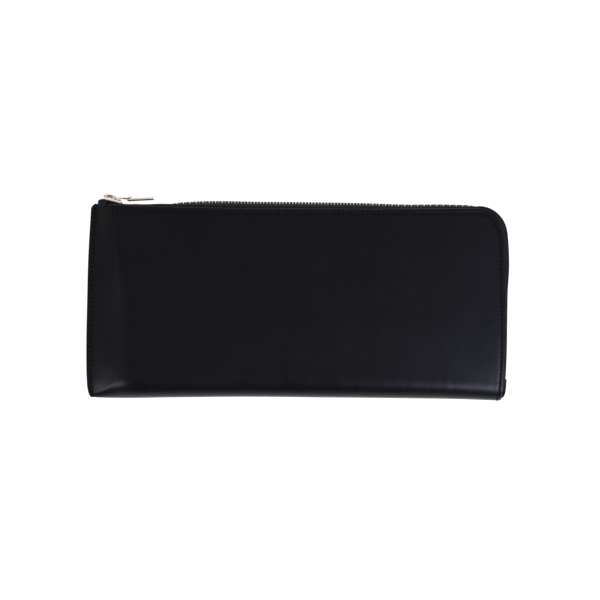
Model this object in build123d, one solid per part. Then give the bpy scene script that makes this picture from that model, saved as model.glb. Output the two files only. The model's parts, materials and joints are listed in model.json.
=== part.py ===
"""A slim long wallet with an L-shaped zip, closed and lying on its back.

The hide is one piece, folded along the bottom edge and sewn shut down the left edge. A metal-toothed
zip joins the two covers along the top edge, round one corner and down the right edge. Inside, a centre
partition carries a coin pocket and card tiers, and pleated gussets close the right-hand end.

Frame, in millimetres: +X runs along the wallet towards the zip's far end, +Y up the covers to the zip,
+Z out of the front cover. The origin is the middle of the back cover's outer face, which lies on the table.
Each piece is a separate solid, written to parts/NODE.step.
"""

from build123d import *
from math import atan2, cos, degrees, hypot, pi, radians, sin
import os

# ---- Driving sizes -------------------------------------------------------------------------------
PANEL_LENGTH = 198.0  # hide, from the sewn left edge to the right edge
PANEL_HEIGHT = 90.0  # bottom of the fold to the top edge
THICKNESS = 22.0  # over both covers, closed
CORNER_RADIUS = 12.0  # the corner that the zip turns

HIDE = 1.6  # outer leather
TAPE = 0.5  # zip tape, and the stiffener board that butts against it
LINING = 0.5
SEAM_RUN = 13.0  # length over which the covers close down to the left seam
SEWN_TAPE = 9.0  # tape held between hide and lining
LINING_INSET = 2.0  # the lining stops short of the hide's zipped edges

THREAD_INSET = 2.0  # hide edge to the stitch groove
THREAD_WIDTH = 0.6
THREAD_DEPTH = 0.35

CHAIN_RISE_TOP = 1.2  # tape plane beyond the hide's top edge
CHAIN_RISE_RIGHT = 0.3  # and beyond its right edge
CHAIN_CORNER_RADIUS = 13.0
TOOTH_PITCH = 3.05
TOOTH_WIDTH = 1.3  # along the chain
TOOTH_HALF_HEIGHT = 1.2  # across the tape
TOOTH_REACH = 0.9  # head past the chain's centre line
TOOTH_LEG = 2.9  # centre line to the end of the legs
TAPE_EDGE = 1.2  # centre line to the edge of the tape

SLIDER_LENGTH = 9.5
SLIDER_NOSE_HALF = 4.9  # half width at the two-channel end
SLIDER_TAIL_HALF = 4.4
SLIDER_PLATE = 0.9
CHAIN_CLEARANCE = 0.28  # slider to teeth
SLOT_CLEARANCE = 0.2  # slider flanges to tape
COVER_CLEARANCE = 0.3  # slider to the covers' inside
WEDGE_HALF = 0.9
WEDGE_LENGTH = 2.85

BRIDGE_HEIGHT = 2.5
BRIDGE_HALF_WIDTH = 0.9
BAR_RADIUS = 0.45  # the pull link's wire
BAR_CLEARANCE = 0.06
LINK_LENGTH = 6.2  # bar to bar
LINK_HALF_WIDTH = 2.3  # to the middle of each side arm
TAB_LENGTH = 12.5
TAB_HALF_WIDTH = 2.2
TAB_HALF_THICKNESS = 0.7
KNUCKLE_RADIUS = 1.2

CARD_TIER = 0.5  # thickness of one card pocket layer
CARD_TIERS = 3
CARD_STEP = 10.0  # each tier's top edge lies this much below the one behind it
BACK_GAP = 1.3  # bill compartment against the back cover, pressed flat
POCKET_WALL = 0.7
COIN_DEPTH = 4.3
PARTITION = 1.2
GUSSET = 0.5
SEWN_GAP = 0.1  # left between a gusset's edge and the leather that it is sewn to
HINGE_GAP = 0.2  # crease between the fixed and the opening part of the front cover

# ---- Places that follow from them ----------------------------------------------------------------
X_LEFT, X_RIGHT = -PANEL_LENGTH / 2, PANEL_LENGTH / 2
Y_BOTTOM, Y_TOP = -PANEL_HEIGHT / 2, PANEL_HEIGHT / 2
Z_MID = THICKNESS / 2
SKIN = HIDE + TAPE + LINING  # one whole cover
BEYOND = 20.0  # how far a cutting block runs past the wallet

Z_BACK_TIERS = SKIN
Z_POCKET_WALL = Z_BACK_TIERS + CARD_TIERS * CARD_TIER + BACK_GAP
Z_COINS = Z_POCKET_WALL + POCKET_WALL
Z_PARTITION = Z_COINS + COIN_DEPTH
Z_FRONT_TIERS = Z_PARTITION + PARTITION

SEAM_HALF = SKIN + PARTITION / 2  # half the thickness of the left seam
SEAM_Z = Z_PARTITION + PARTITION / 2
X_FULL = X_LEFT + SEAM_RUN  # from here on the covers are parallel
Y_FOLD = Y_BOTTOM + Z_MID  # where the flat covers meet the fold

Y_CHAIN = Y_TOP + CHAIN_RISE_TOP
X_CHAIN = X_RIGHT + CHAIN_RISE_RIGHT
Y_CHAIN_END = Y_BOTTOM + 6.5

# The slider parks as far left as the closing covers leave room for its nose.
ROOM = Z_MID - SLIDER_NOSE_HALF - COVER_CLEARANCE - HIDE - TAPE
NOSE_SHARE = min(ROOM / (SEAM_Z - SEAM_HALF), ROOM / (THICKNESS - SEAM_Z - SEAM_HALF))
X_NOSE = X_FULL - NOSE_SHARE * SEAM_RUN
X_SLIDER = X_NOSE + SLIDER_LENGTH / 2
X_TAPE_END = X_NOSE - 1.0

PIVOT_X = X_SLIDER + 1.2
PIVOT_Y = Y_CHAIN + TOOTH_HALF_HEIGHT + CHAIN_CLEARANCE + SLIDER_PLATE + 1.1
KNUCKLE_X = PIVOT_X + LINK_LENGTH

X_PARTITION_END = X_RIGHT - 8.5
Y_PARTITION_TOP = Y_TOP - 11.0
Y_PARTITION_FOOT = Y_FOLD - 4.0


# ---- Blocks that the leather pieces are cut from ---------------------------------------------------
def closed_body(depth, past_top=BEYOND):
    """Everything deeper than depth under the closed wallet's outer surface, open past the top edge."""

    def section(x, low, high):
        middle, radius = (low + high) / 2, (high - low) / 2 - depth
        centre_y, top = Y_BOTTOM + (high - low) / 2, Y_TOP + past_top
        back = Line((x, top, middle - radius), (x, centre_y, middle - radius))
        fold = ThreePointArc(
            (x, centre_y, middle - radius),
            (x, centre_y - radius, middle),
            (x, centre_y, middle + radius),
        )
        front = Line((x, centre_y, middle + radius), (x, top, middle + radius))
        return Face(Wire([back, fold, front, Line(front @ 1, back @ 0)]))

    full = section(X_FULL, 0, THICKNESS)
    straight = extrude(full, X_RIGHT + BEYOND - X_FULL, dir=(1, 0, 0))
    seam = section(X_LEFT, SEAM_Z - SEAM_HALF, SEAM_Z + SEAM_HALF)
    return straight + loft([seam, full], ruled=True)


def outline_block(left, right, top, corner_radius, low=-BEYOND, high=THICKNESS + BEYOND):
    """A block of the covers' outline, with the zip's corner rounded, open past the bottom edge."""
    bottom = Y_BOTTOM - BEYOND
    centre = Vector(right - corner_radius, top - corner_radius)
    edge_right = Line((right, bottom), (right, centre.Y))
    corner = ThreePointArc(
        (right, centre.Y),
        centre + Vector(corner_radius, 0).rotate(Axis.Z, 45),
        (centre.X, top),
    )
    edge_top = Line((centre.X, top), (left, top))
    rest = Polyline((left, top), (left, bottom), (right, bottom))
    face = make_face([edge_right, corner, edge_top, rest])
    return extrude(Pos(0, 0, low) * face, high - low)


def hide_outline(inset, left_inset=0.0):
    """The covers' outline, drawn in from the hide's zipped edges by inset."""
    return outline_block(X_LEFT + left_inset, X_RIGHT - inset, Y_TOP - inset, CORNER_RADIUS - inset)


def chain_outline(inset, left=X_TAPE_END):
    """The outline of the zip's tape plane, drawn in by inset."""
    return outline_block(left, X_CHAIN - inset, Y_CHAIN - inset, CHAIN_CORNER_RADIUS - inset)


def slab(x, y, z):
    """A box from three (low, high) pairs."""
    size = [high - low for low, high in (x, y, z)]
    middle = [(low + high) / 2 for low, high in (x, y, z)]
    return Pos(*middle) * Box(*size)


# The front cover creases along a line from the slider's end of the zip to the fold at the other end.
# Above that line it opens with the zip's front tape; below it, it stays with the rest of the wallet.
CREASE_START, CREASE_END = Vector(X_FULL, Y_TOP), Vector(X_RIGHT, Y_FOLD)
CREASE_ANGLE = degrees(atan2(CREASE_END.Y - CREASE_START.Y, CREASE_END.X - CREASE_START.X))
CREASE_LENGTH = hypot(CREASE_END.X - CREASE_START.X, CREASE_END.Y - CREASE_START.Y)


def mouth_block(gap):
    """The space over the front cover on the opening side of the crease."""
    long_side = CREASE_LENGTH + 2 * BEYOND
    block = slab((-BEYOND, long_side), (gap, long_side), (Z_MID, THICKNESS + BEYOND))
    return Pos(CREASE_START.X, CREASE_START.Y, 0) * Rot(0, 0, CREASE_ANGLE) * block


def split_at_crease(shape):
    """(the part that stays, the part that opens)."""
    return shape - mouth_block(0.0), shape & mouth_block(HINGE_GAP)


BODY = {depth: closed_body(depth) for depth in (0.0, THREAD_DEPTH, HIDE, HIDE + TAPE, SKIN)}


# ---- The covers ----------------------------------------------------------------------------------
def seam_thread():
    """The stitching that runs round both covers, lying in a groove in the hide."""
    ring = hide_outline(THREAD_INSET, THREAD_INSET)
    ring -= hide_outline(THREAD_INSET + THREAD_WIDTH, THREAD_INSET + THREAD_WIDTH)
    return (BODY[0.0] - BODY[THREAD_DEPTH]) & ring


def outer_hide():
    """One folded piece of leather, grooved for the stitching."""
    return ((BODY[0.0] - BODY[HIDE]) & hide_outline(0.0)) - seam_thread()


def stiffener_board():
    """The board glued inside the hide, as thick as the tape that it meets at its edges."""
    return (BODY[HIDE] - BODY[HIDE + TAPE]) & hide_outline(SEWN_TAPE)


def lining():
    """The thin leather that covers board and tape."""
    return (BODY[HIDE + TAPE] - BODY[SKIN]) & hide_outline(LINING_INSET)


# ---- The zip's tapes and teeth -------------------------------------------------------------------
def zip_tape(front):
    """One tape: sewn under the hide's edge, then bent over to carry its row of teeth."""
    sewn = (BODY[HIDE] - BODY[HIDE + TAPE]) & (chain_outline(-TAPE / 2) - hide_outline(SEWN_TAPE))
    web = (chain_outline(-TAPE / 2) - chain_outline(TAPE / 2, X_TAPE_END - 1)) & BODY[HIDE]
    ends = slab((X_TAPE_END, X_RIGHT + BEYOND), (Y_CHAIN_END - 2, Y_TOP + BEYOND), (0, THICKNESS))
    if front:
        half = slab((X_LEFT, X_RIGHT + BEYOND), (Y_BOTTOM, Y_TOP + BEYOND), (Z_MID + TAPE_EDGE, THICKNESS))
    else:
        half = slab((X_LEFT, X_RIGHT + BEYOND), (Y_BOTTOM, Y_TOP + BEYOND), (0, Z_MID - TAPE_EDGE))
    return (sewn + web) & ends & half


X_CORNER = X_CHAIN - CHAIN_CORNER_RADIUS
Y_CORNER = Y_CHAIN - CHAIN_CORNER_RADIUS
X_FIRST_TOOTH = X_NOSE + WEDGE_LENGTH + CHAIN_CLEARANCE + TOOTH_WIDTH / 2
TOP_RUN = X_CORNER - X_FIRST_TOOTH
CORNER_RUN = CHAIN_CORNER_RADIUS * pi / 2
CHAIN_LENGTH = TOP_RUN + CORNER_RUN + Y_CORNER - Y_CHAIN_END


def chain_plane(distance):
    """The plane across the chain at a distance along it: x outward, y along +Z, z along the chain."""
    if distance < TOP_RUN:
        place, turn = Vector(X_FIRST_TOOTH + distance, Y_CHAIN), 0.0
    elif distance < TOP_RUN + CORNER_RUN:
        turn = (distance - TOP_RUN) / CHAIN_CORNER_RADIUS
        place = Vector(X_CORNER, Y_CORNER) + CHAIN_CORNER_RADIUS * Vector(sin(turn), cos(turn))
    else:
        place, turn = Vector(X_CHAIN, Y_CORNER - (distance - TOP_RUN - CORNER_RUN)), pi / 2
    return Plane(
        origin=(place.X, place.Y, Z_MID),
        x_dir=(sin(turn), cos(turn), 0),
        z_dir=(cos(turn), -sin(turn), 0),
    )


def clamp_profile(head, foot):
    """The section of a tooth or stop whose two legs grip the tape's edge, from head out to foot."""
    slope = 0.5
    half, slot = TOOTH_HALF_HEIGHT, TAPE / 2
    upper = [(half - slope, head), (half, head + slope), (half, foot - slope), (half - slope, foot)]
    inner = [(slot, foot), (slot, TAPE_EDGE), (-slot, TAPE_EDGE), (-slot, foot)]
    lower = [(-x, y) for x, y in reversed(upper)]
    return make_face(Polyline(*upper, *inner, *lower, close=True))


def zip_teeth(front):
    """One row of teeth, each clamped on its tape's edge with its head past the centre line."""
    tooth = extrude(clamp_profile(-TOOTH_REACH, TOOTH_LEG), TOOTH_WIDTH / 2, both=True)
    if not front:
        tooth = mirror(tooth, Plane.XZ)
    first = 0.0 if front else TOOTH_PITCH / 2
    count = int((CHAIN_LENGTH - TOOTH_PITCH - first) / TOOTH_PITCH)
    tape = zip_tape(front)
    row = []
    for i in range(count):
        distance = first + i * TOOTH_PITCH
        placed = chain_plane(distance).location * tooth.solid()
        on_bend = TOP_RUN - TOOTH_PITCH < distance < TOP_RUN + CORNER_RUN + TOOTH_PITCH
        row.append((placed - tape).solid() if on_bend else placed)
    return Compound(row)


def zip_top_stops():
    """The two stops that the slider's nose meets when the zip is shut."""
    stop_width = 1.4
    profile = clamp_profile(WEDGE_HALF + 0.1, TOOTH_LEG)
    front = extrude(profile, stop_width / 2, both=True)
    place = Pos(X_FIRST_TOOTH - (TOOTH_WIDTH + stop_width) / 2 - 0.3, Y_CHAIN, Z_MID)
    plane = Plane(origin=(0, 0, 0), x_dir=(0, 1, 0), z_dir=(1, 0, 0))
    pair = [place * (plane.location * side.solid()) for side in (front, mirror(front, Plane.XZ))]
    return Compound(pair)


def zip_bottom_stop():
    """The staple across both tapes at the zip's far end."""
    half_length = 1.1
    block = Box(2 * TOOTH_HALF_HEIGHT + 0.4, 2 * TOOTH_LEG, 2 * half_length)
    slot = Box(TAPE, 2 * TOOTH_LEG, 2 * half_length) - Box(TAPE, 2 * TAPE_EDGE, 2 * half_length)
    return chain_plane(CHAIN_LENGTH - half_length).location * (block - slot)


# ---- The slider and its pull ---------------------------------------------------------------------
CAVITY = TOOTH_HALF_HEIGHT + CHAIN_CLEARANCE
PLATE_TOP = CAVITY + SLIDER_PLATE


def slider_body():
    """Two plates joined by the wedge, with flanges that hold the chain between them."""
    nose, tail = -SLIDER_LENGTH / 2, SLIDER_LENGTH / 2
    corners = [
        (nose, -SLIDER_NOSE_HALF),
        (nose, SLIDER_NOSE_HALF),
        (tail, SLIDER_TAIL_HALF),
        (tail, -SLIDER_TAIL_HALF),
    ]
    plan = make_face(Polyline(*corners, close=True))
    plan = fillet(plan.vertices(), 1.2)
    block = extrude(plan, PLATE_TOP, both=True)
    channel_half = TOOTH_LEG + CHAIN_CLEARANCE
    block -= Box(2 * SLIDER_LENGTH, 2 * channel_half, 2 * CAVITY)
    block -= Box(2 * SLIDER_LENGTH, 4 * SLIDER_NOSE_HALF, TAPE + 2 * SLOT_CLEARANCE)
    wedge_points = [
        (nose, 0.3),
        (nose + 1.0, WEDGE_HALF),
        (nose + WEDGE_LENGTH, 0.25),
        (nose + WEDGE_LENGTH, -0.25),
        (nose + 1.0, -WEDGE_HALF),
        (nose, -0.3),
    ]
    block += extrude(make_face(Polyline(*wedge_points, close=True)), CAVITY, both=True)
    edges = block.faces().sort_by(Axis.Z)[-1].edges()
    block = fillet(edges, 0.35)
    return Pos(X_SLIDER, Y_CHAIN, Z_MID) * Rot(-90, 0, 0) * block


def slider_bridge():
    """The arch on the top plate that the pull link's bar passes under."""
    rise = BRIDGE_HEIGHT
    outer = make_face(
        [
            Polyline((3.9, 0), (-4.2, 0), (-4.3, rise * 0.55)),
            Spline((-4.3, rise * 0.55), (-1.6, rise), (2.2, rise * 0.86), (3.9, 0)),
        ]
    )
    bar_room = BAR_RADIUS + BAR_CLEARANCE
    pivot = (PIVOT_X - X_SLIDER, PIVOT_Y - Y_CHAIN - PLATE_TOP)
    hole_left = -2.6
    hole = Pos((pivot[0] + hole_left) / 2, pivot[1]) * Rectangle(pivot[0] - hole_left, 2 * bar_room)
    hole += Pos(*pivot) * Circle(bar_room) + Pos(hole_left, pivot[1]) * Circle(bar_room)
    arch = extrude(outer - hole, BRIDGE_HALF_WIDTH, both=True)
    outside = arch.edges().filter_by(GeomType.BSPLINE)
    arch = fillet(outside, 0.3)
    return Pos(X_SLIDER, Y_CHAIN + PLATE_TOP, Z_MID) * arch


def pull_link():
    """A closed wire stirrup from the bridge to the tab's knuckle."""
    half = LINK_HALF_WIDTH
    corners = [(0, half), (LINK_LENGTH, half), (LINK_LENGTH, -half), (0, -half)]
    path = Plane.XZ * FilletPolyline(*corners, radius=0.9, close=True)
    wire = sweep(Plane(origin=path @ 0, z_dir=path % 0) * Circle(BAR_RADIUS), path)
    return Pos(PIVOT_X, PIVOT_Y, Z_MID) * wire


def pull_tab():
    """The flat tab, rolled round the link's far bar."""
    knuckle_half = LINK_HALF_WIDTH - BAR_RADIUS - 0.95
    barrel = Cylinder(KNUCKLE_RADIUS, 2 * knuckle_half)
    neck = Pos(KNUCKLE_RADIUS + 0.6, 0) * Box(2 * KNUCKLE_RADIUS, 2 * TAB_HALF_THICKNESS, 2 * knuckle_half)
    blade_start = LINK_HALF_WIDTH * 0.5 + KNUCKLE_RADIUS
    blade_length = TAB_LENGTH - blade_start
    blade = Pos(blade_start + blade_length / 2, 0) * Box(
        blade_length, 2 * TAB_HALF_THICKNESS, 2 * TAB_HALF_WIDTH
    )
    blade = fillet(blade.edges().filter_by(Axis.Y), 1.0)
    tab = barrel + neck + blade
    tab -= Cylinder(BAR_RADIUS + BAR_CLEARANCE, 4 * KNUCKLE_RADIUS)
    return Pos(KNUCKLE_X, PIVOT_Y, Z_MID) * tab


# ---- The inside ----------------------------------------------------------------------------------
def centre_partition():
    """The leather sheet across the middle, caught in the left seam."""
    return slab(
        (X_LEFT, X_PARTITION_END),
        (Y_PARTITION_FOOT, Y_PARTITION_TOP),
        (Z_PARTITION, Z_PARTITION + PARTITION),
    )


def coin_pocket_wall():
    """The coin pocket's back wall, turned in at the foot to meet the partition."""
    x, foot = (X_FULL + 2, X_PARTITION_END - 6), Y_FOLD - 2
    wall = slab(x, (foot, Y_PARTITION_TOP - 6), (Z_POCKET_WALL, Z_COINS))
    return wall + slab(x, (foot, foot + POCKET_WALL), (Z_POCKET_WALL, Z_PARTITION))


def pleat(start, fold, end, foot, top):
    """A gusset with one pleat, through three (x, z) points, standing from foot to top."""
    line = Polyline(*[(x, 0, z) for x, z in (start, fold, end)])
    strip = trace(Plane.XZ.to_local_coords(line), GUSSET)
    standing = Plane.XZ * strip
    return Pos(0, top, 0) * extrude(standing, top - foot, dir=(0, -1, 0))


def coin_pocket_gussets():
    """The pleats that close the coin pocket's two ends."""
    margin = GUSSET / 2 + SEWN_GAP + 0.1
    low, high = Z_COINS + margin, Z_PARTITION - margin
    middle, depth, foot = (low + high) / 2, 6.0, Y_FOLD - 2 + POCKET_WALL + SEWN_GAP
    ends = []
    for edge, inward in ((X_FULL + 3, 1), (X_PARTITION_END - 7, -1)):
        fold_x = edge + inward * depth
        ends.append(pleat((edge, low), (fold_x, middle), (edge, high), foot, Y_PARTITION_TOP - 7))
    return ends


def bill_gusset_front():
    """The pleat between the partition and the front cover at the right-hand end."""
    margin = GUSSET / 2 + SEWN_GAP + 0.05
    low, high = Z_PARTITION + PARTITION + margin, THICKNESS - SKIN - margin
    start, end = (X_PARTITION_END - 0.3, low), (X_RIGHT - 7, high)
    fold = (X_PARTITION_END - 10.5, low + (high - low) * 0.56)
    return pleat(start, fold, end, Y_FOLD + 8, Y_PARTITION_TOP - 2)


def bill_gusset_back():
    """The pleat between the partition and the back cover at the right-hand end."""
    margin = GUSSET / 2 + SEWN_GAP + 0.05
    low, high = SKIN + margin, Z_PARTITION - margin
    start, end = (X_PARTITION_END - 0.3, high), (X_RIGHT - 7, low)
    fold = (X_PARTITION_END - 4, (low + high) / 2)
    return pleat(start, fold, end, Y_FOLD + 1, Y_PARTITION_TOP - 2)


def card_tier(index, z_base, left, right, top):
    """One layer of card pockets; index 0 lies against its backing and stands highest."""
    low = z_base + index * CARD_TIER
    return slab((left, right), (Y_FOLD + 1, top - index * CARD_STEP), (low, low + CARD_TIER))


# ---- Writing the pieces --------------------------------------------------------------------------
def all_pieces():
    """{node name: solid or group of solids}."""
    pieces = {}
    for name, shape in (
        ("outer_hide", outer_hide()),
        ("stiffener_board", stiffener_board()),
        ("lining", lining()),
        ("seam_thread", seam_thread()),
    ):
        pieces[name], pieces[name + "_mouth"] = split_at_crease(shape)
    pieces["zip_tape_front"] = zip_tape(front=True)
    pieces["zip_tape_rear"] = zip_tape(front=False)
    pieces["zip_teeth_front"] = zip_teeth(front=True)
    pieces["zip_teeth_rear"] = zip_teeth(front=False)
    pieces["zip_top_stops"] = zip_top_stops()
    pieces["zip_bottom_stop"] = zip_bottom_stop()
    pieces["slider_body"] = slider_body()
    pieces["slider_bridge"] = slider_bridge()
    pieces["pull_link"] = pull_link()
    pieces["pull_tab"] = pull_tab()
    pieces["centre_partition"] = centre_partition()
    pieces["coin_pocket_wall"] = coin_pocket_wall()
    left_gusset, right_gusset = coin_pocket_gussets()
    pieces["coin_pocket_gusset_left"] = left_gusset
    pieces["coin_pocket_gusset_right"] = right_gusset
    pieces["bill_gusset_front"] = bill_gusset_front()
    pieces["bill_gusset_back"] = bill_gusset_back()
    for i in range(CARD_TIERS):
        top = Y_PARTITION_TOP - CARD_STEP
        pieces[f"card_tier_front_{i + 1}"] = card_tier(i, Z_FRONT_TIERS, X_LEFT + 9, X_PARTITION_END - 4.5, top)
        pieces[f"card_tier_back_{i + 1}"] = card_tier(i, Z_BACK_TIERS, X_FULL + 1, X_PARTITION_END - 6, top)
    return pieces


def main():
    """Writes every piece, and prints the places that the joints turn about."""
    os.makedirs("parts", exist_ok=True)
    for name, shape in all_pieces().items():
        export_step(shape, f"parts/{name}.step")
    print("crease from", CREASE_START, "to", CREASE_END, "at z", THICKNESS)
    print("slider nose", X_NOSE, "travel to", X_CORNER - SLIDER_LENGTH / 2 - X_SLIDER)
    print("link pivot", PIVOT_X, PIVOT_Y, Z_MID, "tab pivot", KNUCKLE_X)


main()
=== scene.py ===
import bmesh
import bpy
import json
import numpy as np
from math import cos, pi, radians, sin
from mathutils import Matrix, Vector


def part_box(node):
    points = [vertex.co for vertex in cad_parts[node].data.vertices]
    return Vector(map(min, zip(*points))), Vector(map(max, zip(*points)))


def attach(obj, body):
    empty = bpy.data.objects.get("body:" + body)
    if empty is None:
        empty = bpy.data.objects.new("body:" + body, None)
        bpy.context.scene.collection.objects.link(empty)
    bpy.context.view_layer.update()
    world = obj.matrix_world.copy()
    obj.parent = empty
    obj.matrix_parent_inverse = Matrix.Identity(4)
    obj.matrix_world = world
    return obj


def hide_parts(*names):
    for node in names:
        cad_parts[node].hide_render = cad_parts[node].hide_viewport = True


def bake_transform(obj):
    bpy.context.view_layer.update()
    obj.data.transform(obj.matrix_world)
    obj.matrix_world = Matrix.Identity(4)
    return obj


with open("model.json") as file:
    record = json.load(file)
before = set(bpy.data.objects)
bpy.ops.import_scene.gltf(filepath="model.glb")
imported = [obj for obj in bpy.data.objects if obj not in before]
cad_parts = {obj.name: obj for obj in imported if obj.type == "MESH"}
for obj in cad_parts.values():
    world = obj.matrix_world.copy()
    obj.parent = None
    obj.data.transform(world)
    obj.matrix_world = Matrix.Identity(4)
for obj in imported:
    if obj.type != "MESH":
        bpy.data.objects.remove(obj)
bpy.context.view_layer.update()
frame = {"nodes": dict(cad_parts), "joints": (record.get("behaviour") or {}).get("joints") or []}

# ---- The hide ------------------------------------------------------------------------------------
# One piece of smooth black calf, 1.6 mm thick, folded along the bottom and sewn shut down the left edge.
# Its cut edges are rounded and painted. The front cover lifts with the mouth when the zip is drawn back.
MM = 0.001
HIDE_LOW, HIDE_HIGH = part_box("outer_hide")
X_LEFT, X_RIGHT = HIDE_LOW.x, HIDE_HIGH.x
Y_BOTTOM, Y_TOP = HIDE_LOW.y, HIDE_HIGH.y
THICKNESS = HIDE_HIGH.z
Z_MID = THICKNESS / 2
Y_FOLD = Y_BOTTOM + Z_MID
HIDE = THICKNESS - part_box("outer_hide_mouth")[0].z
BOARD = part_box("stiffener_board_mouth")[1].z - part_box("stiffener_board_mouth")[0].z
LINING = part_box("lining_mouth")[1].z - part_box("lining_mouth")[0].z
CORNER_RADIUS = 13.2 * MM  # the corner that the zip turns
SEWN_CORNER = 2.2 * MM  # the two corners at the sewn edge
SEAM_HALF = 3.2 * MM  # half the thickness of the left seam
SEAM_FLAT = 2.6 * MM  # the sewn edge lies flat this far in
FLARE_AT_ZIP, FLARE_BELOW, FLARE_BACK = 14 * MM, 25 * MM, 15 * MM  # how far in each cover reaches full height
FLARE_CHANGE = 60 * MM  # the front's flare goes from one length to the other over this height
CROWN = 0.9 * MM  # the front stands this much fuller in its middle
DROOP, DROOP_POWER = 3.2 * MM, 2.5  # it sinks towards its right edge, where the zip holds it down
PINCH, PINCH_POWER = 1.3 * MM, 6  # and is drawn down more at the right end of the fold,
DIP, DIP_POWER, DIP_START, DIP_FADE = 0.76 * MM, 16, 16 * MM, 11 * MM  # and at its sewn end
STRAY_LEFT, STRAY_RIGHT = 60 * MM, 40 * MM  # how far in the side edges' straying reaches
SEAM_WANDER = 0.5 * MM
STITCH_INSET = 2.0 * MM
EDGE_ROUND = 0.55 * MM
FOLD_POWER = 2.3  # 2 is a round fold; more is fuller

# The pattern, before folding: x along the wallet, and s up the back cover, round the fold, up the front.
COVER = Y_TOP - Y_FOLD
FOLD = pi * Z_MID
S_BACK, S_FRONT, S_END = COVER, COVER + FOLD, 2 * COVER + FOLD


def soft_line(*points):
    """A smooth line through a few (place, offset) pairs in millimetres, as a function in metres."""
    at, value = np.array(points, float).T * MM
    slope = np.gradient(value, at)

    def line(place):
        place = np.clip(place, at[0], at[-1])
        i = np.clip(np.searchsorted(at, place) - 1, 0, len(at) - 2)
        width = at[i + 1] - at[i]
        t = (place - at[i]) / width
        start = value[i] * (1 + 2 * t) * (1 - t) ** 2 + slope[i] * width * t * (1 - t) ** 2
        end = value[i + 1] * t * t * (3 - 2 * t) + slope[i + 1] * width * t * t * (t - 1)
        return start + end

    return line


# Leather is never cut or closed dead straight: these are how far each edge strays from its line.
top_stray = soft_line(
    (-99, 1.8), (-90, 1.3), (-75, 0.6), (-46, -0.35), (0, -0.85), (34, -1.05), (60, -0.85), (99, -0.5)
)
bottom_stray = soft_line(
    (-99, 0.0), (-90, -0.35), (-60, -0.1), (-25, 0.2), (10, -0.1), (45, -0.45), (77, -0.95), (99, -1.7)
)
left_stray = soft_line(
    (-46, 0.9), (-42, -0.5), (-36, -1.0), (-25, -1.2), (0, -0.8), (20, -0.3), (47, 1.2)
)
right_stray = soft_line(
    (-46, -2.4), (-41, -1.7), (-32, -0.95), (-10, -0.55), (8, -0.85), (27, -1.3), (36, -1.7), (46, -1.0)
)


def ease(t):
    """0 to 1, starting and stopping gently."""
    t = np.clip(t, 0, 1)
    return t * t * (3 - 2 * t)


def seam_wander(x):
    """How much further in than the rest the front's top seam runs, towards the sewn edge."""
    return SEAM_WANDER * (1 - ease((x + 30 * MM) / (60 * MM)))


def flare(x, length):
    """0 on the flat sewn edge, up to 1 where the cover reaches its full height."""
    rise = np.clip((x - X_LEFT - SEAM_FLAT) / (length - SEAM_FLAT), 0, 1)
    return 1 - (1 - rise) ** 2 * (1 + rise)


def skin(x, s):
    """The closed hide's outer surface at a place on the pattern."""
    up = np.where(s > S_FRONT, (s - S_FRONT) / COVER, np.where(s < S_BACK, 1 - s / COVER, 0))

    # heights of the two covers
    held = np.clip(x / X_RIGHT, 0, 1) ** DROOP_POWER
    sewn = ease((X_LEFT + DIP_START - x) / DIP_FADE)
    droop = held * (DROOP + PINCH * (1 - up) ** PINCH_POWER) + sewn * DIP * (1 - up) ** DIP_POWER
    height_below_zip = Y_TOP - 2 * MM - (Y_FOLD + up * COVER)
    front_flare = FLARE_AT_ZIP + (FLARE_BELOW - FLARE_AT_ZIP) * ease(height_below_zip / FLARE_CHANGE)
    front = Z_MID + SEAM_HALF + (Z_MID - SEAM_HALF) * flare(x, front_flare) - droop
    back = Z_MID - SEAM_HALF - (Z_MID - SEAM_HALF) * flare(x, FLARE_BACK)
    crown = CROWN * (1 - (x / X_RIGHT) ** 2) * (1 - up * up) * ease(up * 3)

    # the fold joins them, and meets the front at the slope that the front has there
    radius = (front - back) / 2
    centre_y = Y_BOTTOM + bottom_stray(x) + radius
    tilt = (held * PINCH_POWER * PINCH + sewn * DIP_POWER * DIP) / COVER
    angle = np.clip((s - S_BACK) / FOLD, 0, 1) * (pi - tilt ** (1 / (FOLD_POWER - 1)))
    full = (np.abs(np.sin(angle)) ** FOLD_POWER + np.abs(np.cos(angle)) ** FOLD_POWER) ** (-1 / FOLD_POWER)
    fold_y = centre_y - radius * full * np.sin(angle)
    fold_z = (front + back) / 2 - radius * full * np.cos(angle)

    top = Y_TOP + np.where(s > S_FRONT, top_stray(x), 0.3 * top_stray(x))
    y = np.where((s > S_FRONT) | (s < S_BACK), fold_y + up * (top - fold_y), fold_y)
    short = (front - fold_z) * (1 - up) ** 3
    z = np.where(s > S_FRONT, front + crown - short, np.where(s < S_BACK, back, fold_z))
    near_left = np.clip((X_LEFT + STRAY_LEFT - x) / STRAY_LEFT, 0, 1) ** 2
    near_right = np.clip((x - X_RIGHT + STRAY_RIGHT) / STRAY_RIGHT, 0, 1) ** 2
    return np.stack([x + left_stray(y) * near_left + right_stray(y) * near_right, y, z], -1)


def cover_point(x, s, depth=0.0):
    """A place on the pattern, that far under the leather's outer surface, and the surface's normal there."""
    step = 0.05 * MM
    x, s, depth = np.broadcast_arrays(np.asarray(x, float), np.asarray(s, float), np.asarray(depth, float))
    along = skin(x + step, s) - skin(x - step, s)
    across = skin(x, s + step) - skin(x, s - step)
    normal = np.cross(along, across)
    normal /= np.linalg.norm(normal, axis=-1, keepdims=True)
    return skin(x, s) - normal * depth[..., None], normal


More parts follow.
